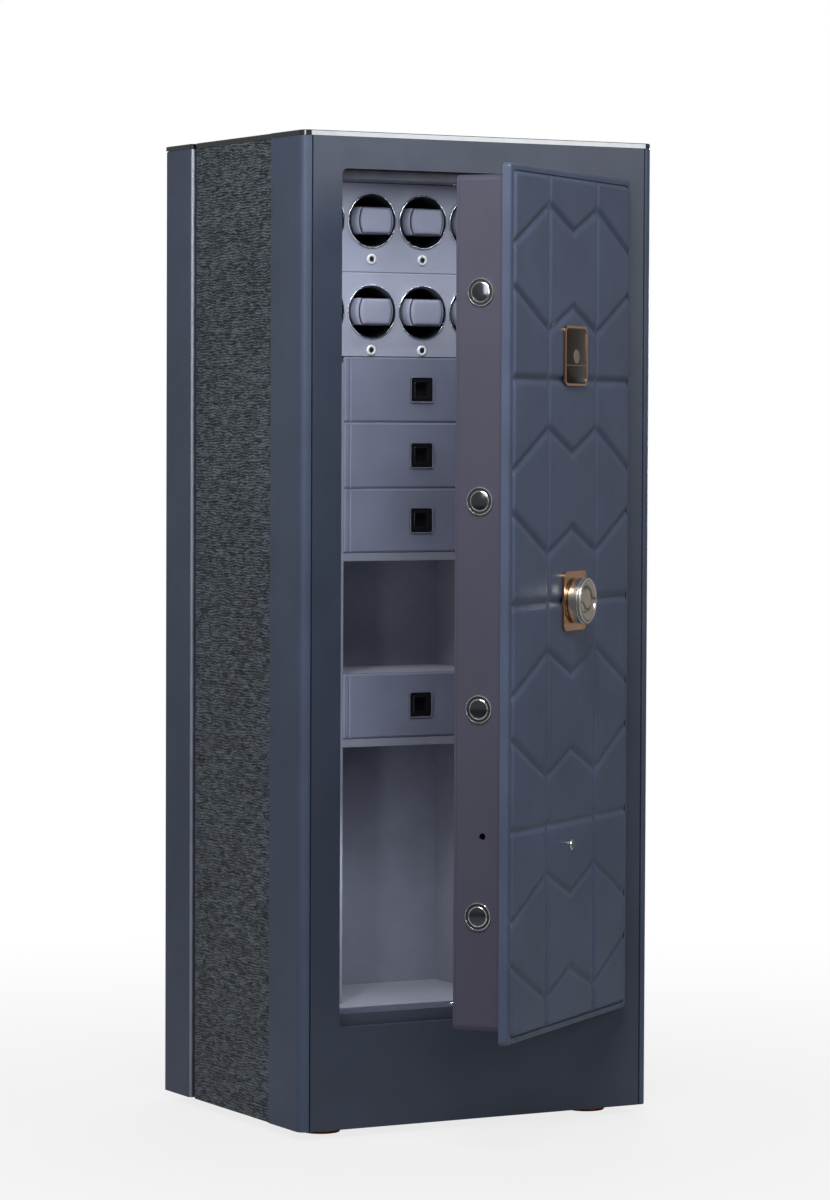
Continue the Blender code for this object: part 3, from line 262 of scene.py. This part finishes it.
CAD_LOOKS = {
    SLATE: ["rear_cover", "left_corner_column", "right_corner_column"],
    FASCIA: ["front_fascia"],
    RIPPLED: ["left_side_panel", "right_side_panel"],
    DOOR_LEATHER: ["door_panel"],
    MIRROR: ["top_plate"],
    BODY_PAINT: ["steel_body"],
    FRAME_PAINT: ["door_frame"],
    SUEDE: ["cavity_lining", "tower_carcass"],
    DRAWER_LEATHER: [f"drawer_{n}" for n in (1, 2, 3, 4)],
    GLOSS: [f"drawer_pull_{n}" for n in (1, 2, 3, 4)],
    WINDER_LEATHER: ["winder_panel"],
    CHROME: ["winder_bezels", "bolt_carriage", "key_cylinder"],
    BLACK: ["winder_case"] + [f"winder_button_{r}{c}" for r, c, _, _ in WINDERS],
    PLUG: ["plug_shell", "plug_back_cover"],
    STEEL: ["upper_hinge_arm", "lower_hinge_arm", "upper_hinge_bracket", "lower_hinge_bracket",
            "knob_spindle"],
    ROSE_GOLD: ["knob_plate", "reader_plate"],
    NICKEL: ["knob"],
    COPPER: [f"{e}_{s}_foot" for e in ("front", "rear") for s in ("left", "right")],
}
for look, names in CAD_LOOKS.items():
    for name in names:
        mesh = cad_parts[name].data
        mesh.materials.clear()
        mesh.materials.append(look)


# Mesh helpers: pieces are drawn in the cabinet frame, then placed by CABINET or DOOR


def finish_piece(name, bm, look, place, body, smooth_angle=40.0):
    bmesh.ops.remove_doubles(bm, verts=bm.verts[:], dist=1e-6)
    bmesh.ops.recalc_face_normals(bm, faces=bm.faces[:])
    mesh = bpy.data.meshes.new(name)
    bm.to_mesh(mesh)
    bm.free()
    mesh.transform(place)
    mesh.materials.append(look)
    mesh.shade_smooth()
    mesh.set_sharp_from_angle(angle=math.radians(smooth_angle))
    obj = bpy.data.objects.new(name, mesh)
    bpy.context.collection.objects.link(obj)
    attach(obj, body)
    return obj


def on_axis(axis, u, v, w):
    return {"x": (w, u, v), "y": (u, w, v), "z": (u, v, w)}[axis]


def add_turned(bm, profile, centre, axis, segments=64):
    """Turn (radius, along) points round an axis; a closed loop, or from radius 0 to radius 0."""
    rings = []
    for radius, along in profile:
        count = segments if radius else 1
        ring = []
        for i in range(count):
            a = 2 * math.pi * i / segments
            ring.append(bm.verts.new(on_axis(axis, centre[0] + radius * math.cos(a),
                                             centre[1] + radius * math.sin(a), along)))
        rings.append(ring)
    pairs = list(zip(rings, rings[1:]))
    if len(rings[0]) > 1:
        pairs.append((rings[-1], rings[0]))
    for a, b in pairs:
        for i in range(segments):
            j = (i + 1) % segments
            corners = (a[i % len(a)], a[j % len(a)], b[j % len(b)], b[i % len(b)])
            bm.faces.new(list(dict.fromkeys(corners)))


def arc(centre, radius, start, end, steps):
    turns = [math.radians(start + (end - start) * i / steps) for i in range(steps + 1)]
    return [(centre[0] + radius * math.cos(t), centre[1] + radius * math.sin(t)) for t in turns]


def rounded_rectangle(left, right, bottom, top, radius, steps=8):
    corners = (((right - radius, top - radius), 0), ((left + radius, top - radius), 90),
               ((left + radius, bottom + radius), 180), ((right - radius, bottom + radius), 270))
    return [p for centre, turn in corners for p in arc(centre, radius, turn, turn + 90, steps)]


def add_loft(bm, loops, close=True):
    """Skin a list of point loops of equal length, and cap both ends."""
    rings = [[bm.verts.new(p) for p in loop] for loop in loops]
    for a, b in zip(rings, rings[1:]):
        for i in range(len(a)):
            j = (i + 1) % len(a)
            bm.faces.new((a[i], a[j], b[j], b[i]))
    if close:
        bm.faces.new(rings[0])
        bm.faces.new(rings[-1])


# Quilted door pad


QUILT_HALF, QUILT_BOTTOM, QUILT_TOP, QUILT_CORNER = 0.2240, 0.1780, 1.4270, 0.0095
PITCH, COLUMN = 0.326, 0.0925
SEAM_Y, PAD_RISE, EDGE_Y, BACK_Y = 0.0004, 0.0040, 0.0014, 0.0036
SEAM_WIDTH, ROLL_WIDTH = 0.0052, 0.0034


def quilt_cells():
    cells = []
    for row in range(4):
        start = DOOR_MIDDLE_Z + PITCH * (2 - row)
        top, bottom = min(start, QUILT_TOP), max(start - PITCH, QUILT_BOTTOM)
        upper = [start - PITCH * s for s in (0.405, 0.218, 0.330)]
        lower = [2 * start - PITCH - z for z in upper]
        levels = ((top,) * 3, upper, lower, (bottom,) * 3)
        for above, below in zip(levels, levels[1:]):
            right = [(COLUMN, below[1]), (QUILT_HALF, below[0]), (QUILT_HALF, above[0]), (COLUMN, above[1])]
            cells.append(right)
            cells.append([(-x, z) for x, z in right[::-1]])
            low = [(0.0, below[2])] if below[2] != below[1] else []
            high = [(0.0, above[2])] if above[2] != above[1] else []
            cells.append([(-COLUMN, below[1]), *low, (COLUMN, below[1]), (COLUMN, above[1]), *high,
                          (-COLUMN, above[1])])
    return cells


def on_border(x, z):
    return abs(abs(x) - QUILT_HALF) < 1e-6 or abs(z - QUILT_TOP) < 1e-6 or abs(z - QUILT_BOTTOM) < 1e-6


def segment_distance(p, a, b):
    ab, ap = b - a, p - a
    t = max(0.0, min(1.0, ap.dot(ab) / ab.length_squared))
    return (ap - ab * t).length


def corner_reach(x, z):
    """How far a point is inside the corner squares of the pad, across and along."""
    return abs(x) - QUILT_HALF + QUILT_CORNER, max(z - QUILT_TOP, QUILT_BOTTOM - z) + QUILT_CORNER


def tucked(p):
    """Draw the points of the corner squares in to round corners."""
    across, along = corner_reach(p.x, p.y)
    if min(across, along) <= 0:
        return p
    pull = 1.0 - max(across, along) / math.hypot(across, along)
    middle_z = (QUILT_TOP + QUILT_BOTTOM) / 2
    return p - Vector((math.copysign(across, p.x), math.copysign(along, p.y - middle_z))) * pull


def pad_y(p, cell):
    """Full in the middle of a cell, soft valleys at its seams, and a roll down to the door's rim."""
    swell = 1.0
    for a, b in zip(cell, cell[1:] + cell[:1]):
        if not on_border((a.x + b.x) / 2, (a.y + b.y) / 2):
            swell *= 1.0 - math.exp(-((segment_distance(p, a, b) / SEAM_WIDTH) ** 2))
    slack = noise.noise(Vector((p.x * 9.0, p.y * 9.0, 3.1))) * 0.0003
    across, along = corner_reach(p.x, p.y)
    inside = QUILT_CORNER - (math.hypot(across, along) if min(across, along) > 0 else max(across, along))
    roll = 1.0 - math.exp(-((max(inside, 0.0) / ROLL_WIDTH) ** 2))
    return EDGE_Y + (SEAM_Y - EDGE_Y - swell * (PAD_RISE + slack)) * roll


def make_quilt():
    bm = bmesh.new()
    rings = (1.0, 0.99, 0.978, 0.962, 0.944, 0.922, 0.895, 0.862, 0.82, 0.76, 0.68, 0.56, 0.38, 0.2)
    for outline in quilt_cells():
        cell = [Vector(p) for p in outline]
        middle = sum(cell, Vector((0.0, 0.0))) / len(cell)
        border = []
        for a, b in zip(cell, cell[1:] + cell[:1]):
            steps = max(4, round((b - a).length / 0.005))
            border += [a.lerp(b, i / steps) for i in range(steps)]
        loops = []
        for t in rings:
            points = [tucked(middle.lerp(b, t)) for b in border]
            loops.append([bm.verts.new((p.x, pad_y(p, cell), p.y)) for p in points])
        for a, b in zip(loops, loops[1:]):
            for i in range(len(a)):
                j = (i + 1) % len(a)
                bm.faces.new((a[i], a[j], b[j], b[i]))
        crown = bm.verts.new((middle.x, pad_y(middle, cell), middle.y))
        last = loops[-1]
        for i in range(len(last)):
            bm.faces.new((last[i], last[(i + 1) % len(last)], crown))
    bmesh.ops.remove_doubles(bm, verts=bm.verts[:], dist=1e-5)
    hem = [e for e in bm.edges if e.is_boundary]
    skirt = bmesh.ops.extrude_edge_only(bm, edges=hem)["geom"]
    back = {g for g in skirt if isinstance(g, bmesh.types.BMVert)}
    for vertex in back:
        vertex.co.y = BACK_Y
    rim = [e for e in bm.edges if e.verts[0] in back and e.verts[1] in back]
    bmesh.ops.holes_fill(bm, edges=rim, sides=0)
    quilt = finish_piece("quilted_pad", bm, DOOR_LEATHER, DOOR, "door", 75.0)
    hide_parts("door_quilt")


make_quilt()


# Watch pillows on their turntables


def pillow_outline(half_width, radius, half):
    """Level above and below, with bowed ends."""
    tilt = math.degrees(math.asin(half / radius))
    bow = half_width - radius
    right = arc((bow, 0), radius, -tilt, tilt, 14)
    left = arc((-bow, 0), radius, 180 - tilt, 180 + tilt, 14)
    top = [(right[-1][0] + (left[0][0] - right[-1][0]) * i / 16, half) for i in range(1, 16)]
    low = [(left[-1][0] + (right[0][0] - left[-1][0]) * i / 16, -half) for i in range(1, 16)]
    return right + top + left + low


# From back to front: half width, radius of the ends, half height, y
PILLOW_STAGES = (
    (0.0332, 0.0362, 0.0204, 0.2615), (0.0332, 0.0362, 0.0204, 0.1795),
    (0.0329, 0.037, 0.0203, 0.1778), (0.0322, 0.038, 0.0202, 0.1762),
    (0.0310, 0.040, 0.0201, 0.1747), (0.0296, 0.042, 0.0200, 0.1738),
    (0.0287, 0.042, 0.0198, 0.1738), (0.0283, 0.042, 0.0196, 0.1756),
    (0.0274, 0.042, 0.0193, 0.1756), (0.0270, 0.042, 0.0190, 0.1728),
    (0.0264, 0.042, 0.0184, 0.1713), (0.0256, 0.042, 0.0175, 0.1704),
    (0.0240, 0.042, 0.0162, 0.1699), (0.0190, 0.042, 0.0125, 0.1697),
)
TURNTABLE = (
    (0.0, 0.2620), (0.0382, 0.2620), (0.0385, 0.2626), (0.0385, 0.2664), (0.0380, 0.2672),
    (0.0090, 0.2690), (0.0080, 0.2700), (0.0080, 0.2845), (0.0, 0.2845),
)


def make_pillow(row, column, x, z):
    """A stitched cushion: a bowed front panel, sloping end caps, and a seam between them."""
    node = f"winder_pillow_{row}{column}"
    bm = bmesh.new()
    loops = []
    for width, radius, half, y in PILLOW_STAGES:
        seam = 0.0012 if 0.0273 < width < 0.0284 else 0.0
        loop = []
        for u, v in pillow_outline(width, radius, half):
            ends = min(max((abs(u) / width - 0.62) / 0.14, 0.0), 1.0)
            loop.append((x + u, y - seam * (1.0 - ends), z + v))
        loops.append(loop)
    add_loft(bm, loops)
    bm.faces.ensure_lookup_table()
    for face in bm.faces[6 * len(loop):9 * len(loop)]:
        face.material_index = 1
    pad = finish_piece(f"{node}_pad", bm, PILLOW_LEATHER, CABINET, f"winder_{row}{column}", 60.0)
    pad.data.materials.append(SEAM_LEATHER)
    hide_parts(node)
    bm = bmesh.new()
    add_turned(bm, TURNTABLE, (x, z), "y", 48)
    table = finish_piece(f"{node}_table", bm, BLACK, CABINET, f"winder_{row}{column}")


for winder in WINDERS:
    make_pillow(*winder)


# Chrome rings: window bezels, button collars, bolt bushes


def make_bezels():
    rims, flares, wells, collars = (bmesh.new() for _ in range(4))
    face, low = FACE_Y - 0.0030, FACE_Y - 0.0026
    for _, _, x, z in WINDERS:
        rim = [(0.0400, face + 0.0004), *arc((0.0404, face + 0.0004), 0.0004, 180, 270, 3),
               *arc((0.0405, face + 0.0010), 0.0010, 270, 360, 5),
               (0.0415, FACE_Y + 0.0070), (0.0400, FACE_Y + 0.0070)]
        add_turned(rims, rim, (x, z), "y", 72)
        flare = [(0.0400, face + 0.0005), (0.0388, face + 0.0016), (0.0378, face + 0.0030),
                 (0.0371, face + 0.0050), (0.0371, 0.1948), (0.0400, 0.1948)]
        add_turned(flares, flare, (x, z), "y", 72)
        well = ((0.0373, 0.1950), (0.0373, 0.2600), (0.0379, 0.2600), (0.0379, 0.1950))
        add_turned(wells, well, (x, z), "y", 48)
        collar = [(0.0044, FACE_Y + 0.0070), (0.0044, low + 0.0005), (0.0049, low), (0.0066, low),
                  *arc((0.0066, low + 0.0014), 0.0014, 270, 360, 5), (0.0080, FACE_Y + 0.0070)]
        add_turned(collars, collar, (x, z - BUTTON_DROP), "y", 40)
    rings = finish_piece("window_rings", rims, CHROME, CABINET, "cabinet")
    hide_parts("winder_bezels")
    # The flares are chrome darkened in colour as a painted dark reflection.
    finish_piece("window_flares", flares, CHROME_PAINTED_DARK, CABINET, "cabinet")
    finish_piece("window_wells", wells, BLACK, CABINET, "cabinet")
    # The collars' near-white colour is a painted reflection, not their own colour.
    finish_piece("button_collars", collars, WHITE_PAINTED_REFLECTION, CABINET, "cabinet")


make_bezels()


def make_bolt_trim():
    rings, gap_shade_rings, rims, faces = (bmesh.new() for _ in range(4))
    face = BUSH_FACE_X
    for z in BOLTS_Z:
        ring = [(0.0186, face + 0.0002), (0.0186, face - 0.0006), (0.0189, face - 0.0010),
                (0.0198, face - 0.0010), (0.0203, face - 0.0005), (0.0203, face + 0.0019),
                (0.0201, face + 0.0019), (0.0201, face + 0.0002)]
        add_turned(rings, ring, (BOLT_Y, z), "x", 64)
        # A thin black ring across the clearance between bush and bolt rim: painted shade.
        gap = [(0.01545, face - 0.0001), (0.01545, face - 0.0003),
               (0.0186, face - 0.0003), (0.0186, face - 0.0001)]
        add_turned(gap_shade_rings, gap, (BOLT_Y, z), "x", 48)
        rim = [(0.0133, face - 0.0001), (0.0133, face - 0.0007), (0.0142, face - 0.0007),
               (0.0149, face - 0.0002), (0.0150, face + 0.0006), (0.0148, face + 0.0006)]
        add_turned(rims, rim, (BOLT_Y, z), "x", 64)
        disc = [(0.0, face - 0.0005), (0.0120, face - 0.0005), (0.0133, face - 0.0003),
                (0.0133, face - 0.0001), (0.0, face - 0.0001)]
        add_turned(faces, disc, (BOLT_Y, z), "x", 48)
    finish_piece("bolt_bushes", rings, CHROME, DOOR, "door")
    finish_piece("bolt_gap_painted_shade", gap_shade_rings, BLACK, DOOR, "door")
    finish_piece("bolt_rims", rims, CHROME, DOOR, "bolts")
    # The bolt faces are chrome darkened in colour as a painted dark reflection.
    finish_piece("bolt_faces", faces, CHROME_PAINTED_DARK, DOOR, "bolts")


make_bolt_trim()


# Reader: dark glass in the metal rim, a ridged sensor and a fine divider


def make_reader():
    z0 = DOOR_MIDDLE_Z + PITCH + 0.036
    back, front = -0.0068, -0.0073
    bm = bmesh.new()
    loops = []
    for inset, y in ((0.0, back), (0.0, front + 0.0003), (0.0004, front)):
        wide, high = 0.0396 - inset, 0.0406 - inset
        outline = rounded_rectangle(-wide, wide, z0 - high, z0 + high, 0.0066)
        loops.append([(u, y, v) for u, v in outline])
    add_loft(bm, loops)
    finish_piece("reader_glass", bm, GLASS, DOOR, "door")
    bm = bmesh.new()
    profile = [(0.0, front - 0.0003)]
    for i in range(1, 11):
        profile.append((0.0009 * i, front - (0.0005 if i % 2 else 0.0003)))
    profile += [(0.0098, front - 0.0007), (0.0104, front - 0.0006), (0.0106, front), (0.0, front)]
    add_turned(bm, profile, (0.0, z0 - 0.001), "y", 56)
    finish_piece("reader_sensor", bm, SENSOR, DOOR, "door")
    bm = bmesh.new()
    outline = rounded_rectangle(-0.0394, 0.0394, z0 - 0.0143, z0 - 0.0135, 0.0003, 3)
    add_loft(bm, [[(u, y, v) for u, v in outline] for y in (front + 0.0001, front - 0.0003)])
    finish_piece("reader_divider", bm, ROSE_GOLD, DOOR, "door")


make_reader()


# Knob: a brushed drum with a groove, and a polished dished face


def make_knob():
    rear, face, r = -0.0079, -0.0289, 0.034
    drum = [(0.0, rear), (r - 0.0035, rear), (r - 0.0035, rear - 0.0015), (r - 0.0008, rear - 0.0019),
            (r, rear - 0.0028), (r, face + 0.0062), (r - 0.0005, face + 0.0056), (r - 0.0012, face + 0.0053),
            (r - 0.0012, face + 0.0045), (r - 0.0005, face + 0.0042), (r, face + 0.0036), (r, face + 0.0024),
            *arc((r - 0.0020, face + 0.0020), 0.0020, 0, -90, 6), (r - 0.0034, face),
            (r - 0.0040, face + 0.0008), (r - 0.0040, face + 0.0060), (0.0, face + 0.0060)]
    bm = bmesh.new()
    add_turned(bm, drum, (0.0, DOOR_MIDDLE_Z), "y", 96)
    piece = finish_piece("knob_drum", bm, NICKEL, DOOR, "knob", 32.0)
    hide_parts("knob")
    dish = [(0.0, face + 0.0058), (0.0298, face + 0.0058), (0.0298, face + 0.0010), (0.0294, face + 0.0003),
            (0.0286, face + 0.0002), (0.0276, face + 0.0008), (0.0258, face + 0.0026),
            (0.0232, face + 0.0038), (0.0200, face + 0.0044), (0.0182, face + 0.0045),
            (0.0177, face + 0.0038), (0.0170, face + 0.0024), (0.0160, face + 0.0018),
            (0.0110, face + 0.0014), (0.0, face + 0.0012)]
    bm = bmesh.new()
    add_turned(bm, dish, (0.0, DOOR_MIDDLE_Z), "y", 96)
    finish_piece("knob_face", bm, NICKEL_FACE, DOOR, "knob", 32.0)


make_knob()


# Fine trim: pull rims, the polished strips beside the rear grooves, and the catches on the frame


def add_frame(bm, outer, inner, radius, centre_z, front, back):
    """A thin square frame with a bevelled front."""
    step = 0.0003
    loops = []
    section = ((outer, radius, back), (outer, radius, front + step), (outer - step, radius - step, front),
               (inner + step, radius - step, front), (inner, radius, front + step), (inner, radius, back))
    for half, corner, y in section:
        outline = rounded_rectangle(-half, half, centre_z - half, centre_z + half, corner, 4)
        loops.append([(u, y, v) for u, v in outline])
    add_loft(bm, loops + loops[:1], False)


def make_trim():
    for number, low, top in DRAWERS:
        bm = bmesh.new()
        add_frame(bm, 0.0199, 0.0187, 0.0030, (low + top) / 2, 0.1842, 0.1848)
        rim = finish_piece(f"pull_rim_{number}", bm, PULL_EDGE, CABINET, f"drawer_{number}_body")
        bm = bmesh.new()
        add_frame(bm, 0.0126, 0.0109, 0.0014, (low + top) / 2, 0.1844, 0.1870)
        lip = finish_piece(f"pull_lip_{number}", bm, GLOSS, CABINET, f"drawer_{number}_body")
    bm = bmesh.new()
    for side in (-1, 1):
        outline = arc((0.296, 0.385), 0.00625, 262, 330, 10) + arc((0.296, 0.385), 0.00602, 330, 262, 10)
        add_loft(bm, [[(side * x, y, z) for x, y in outline] for z in (0.0122, 1.4868)])
    finish_piece("groove_strips", bm, STRIP, CABINET, "cabinet")
    bm = bmesh.new()
    for z, out in ((1.4259, -1), (0.1826, 1)):
        add_turned(bm, ((0.0, z), (0.0050, z), (0.0050, z + out * 0.0012), (0.0040, z + out * 0.0022),
                        (0.0, z + out * 0.0026)), (-0.020, 0.045), "z", 32)
    finish_piece("frame_catches", bm, CHROME, CABINET, "cabinet")


make_trim()


# Camera from the photograph's perspective


def make_camera():
    yaw, pitch, roll = math.radians(28.66), math.radians(-2.297), math.radians(0.245)
    level = Vector((math.sin(yaw), math.cos(yaw), 0.0))
    side = Vector((math.cos(yaw), -math.sin(yaw), 0.0))
    ahead = level * math.cos(pitch) + Vector((0, 0, math.sin(pitch)))
    up = Vector((0, 0, math.cos(pitch))) - level * math.sin(pitch)
    right = side * math.cos(roll) + up * math.sin(roll)
    up = up * math.cos(roll) - side * math.sin(roll)
    turn = Matrix((right, up, -ahead)).transposed().to_4x4()
    data = bpy.data.cameras.new("camera")
    data.lens = 127.46
    data.sensor_width = 36.0
    data.clip_end = 60.0
    camera = bpy.data.objects.new("camera", data)
    camera.matrix_world = CABINET @ Matrix.Translation((-3.1579, -5.5728, 1.0548)) @ turn
    bpy.context.collection.objects.link(camera)
    bpy.context.scene.camera = camera


make_camera()


# Studio


def area_light(name, place, target, size, power, colour=(1.0, 1.0, 1.0)):
    data = bpy.data.lights.new(name, "AREA")
    data.shape = "RECTANGLE"
    data.size, data.size_y = size
    data.energy = power
    data.color = colour
    light = bpy.data.objects.new(name, data)
    light.location = CABINET @ Vector(place)
    light.rotation_euler = (Vector(target) - Vector(place)).to_track_quat("-Z", "Y").to_euler()
    bpy.context.collection.objects.link(light)


def make_studio():
    area_light("key", (-0.8, -1.4, 2.5), (0.0, 0.0, 1.1), (1.0, 0.8), 42.0)
    area_light("front", (2.15, -3.8, 2.3), (0.0, 0.0, 1.3), (1.1, 1.6), 36.0)
    area_light("side", (-2.9, -1.5, 2.2), (-0.3, 0.1, 1.2), (0.8, 2.0), 32.0)
    area_light("rear", (1.4, 3.2, 1.1), (0.0, 0.3, 0.8), (1.8, 0.6), 40.0)
    area_light("right", (2.3, 2.5, 1.1), (0.3, 0.2, 0.8), (0.8, 0.6), 22.0)
    cool = (0.92, 0.95, 1.0)
    area_light("frame_strip_top", (0.0, 0.084, 1.421), (0.0, 0.135, 1.0), (0.44, 0.012), 0.47, cool)
    area_light("frame_strip_left", (-0.226, 0.084, 0.80), (-0.02, 0.210, 0.80), (0.012, 1.20), 0.72, cool)
    area_light("middle_bay_strip", (0.0, 0.215, 0.848), (0.0, 0.30, 0.70), (0.22, 0.012), 0.06, cool)
    area_light("frame_strip_low", (0.0, 0.084, 0.42), (0.0, 0.24, 0.172), (0.40, 0.012), 0.50, cool)
    world = bpy.data.worlds.new("studio")
    world.use_nodes = True
    nodes, links = world.node_tree.nodes, world.node_tree.links
    back = nodes["Background"]
    back.inputs["Color"].default_value = (1.0, 1.0, 1.0, 1.0)
    path = nodes.new("ShaderNodeLightPath")
    level = None
    for ray, value in (("Is Camera Ray", 1.0), ("Is Glossy Ray", 0.30), ("Is Transmission Ray", 0.6)):
        part = nodes.new("ShaderNodeMath")
        part.operation = "MULTIPLY"
        links.new(path.outputs[ray], part.inputs[0])
        part.inputs[1].default_value = value
        best = nodes.new("ShaderNodeMath")
        best.operation = "MAXIMUM"
        links.new(part.outputs[0], best.inputs[0])
        best.inputs[1].default_value = 0.14
        if level:
            links.new(level, best.inputs[1])
        level = best.outputs[0]
    links.new(level, back.inputs["Strength"])
    bpy.context.scene.world = world

    bm = bmesh.new()
    bmesh.ops.create_grid(bm, x_segments=8, y_segments=8, size=9.0)
    mesh = bpy.data.meshes.new("floor")
    bm.to_mesh(mesh)
    bm.free()
    floor = bpy.data.objects.new("floor", mesh)
    floor.location.z = -0.0002
    bpy.context.collection.objects.link(floor)
    look = Shader("floor_paper", (0.42, 0.42, 0.42), 0.8)
    glow = look.nodes.new("ShaderNodeEmission")
    glow.inputs["Strength"].default_value = 1.0
    ray = look.nodes.new("ShaderNodeLightPath")
    reach = look.nodes.new("ShaderNodeVectorMath")
    reach.operation = "LENGTH"
    look.links.new(look.position, reach.inputs[0])
    white = look.span(reach.outputs["Value"], 0.80, 1.0, 0.5, 2.4)
    some = look.sum(ray.outputs["Is Camera Ray"], white, "MULTIPLY")
    mix = look.nodes.new("ShaderNodeMixShader")
    look.links.new(some, mix.inputs["Fac"])
    look.links.new(look.shader.outputs["BSDF"], mix.inputs[1])
    look.links.new(glow.outputs["Emission"], mix.inputs[2])
    look.links.new(mix.outputs["Shader"], look.nodes["Material Output"].inputs["Surface"])
    mesh.materials.append(look.material)
    bpy.context.scene.view_settings.view_transform = "Standard"


make_studio()
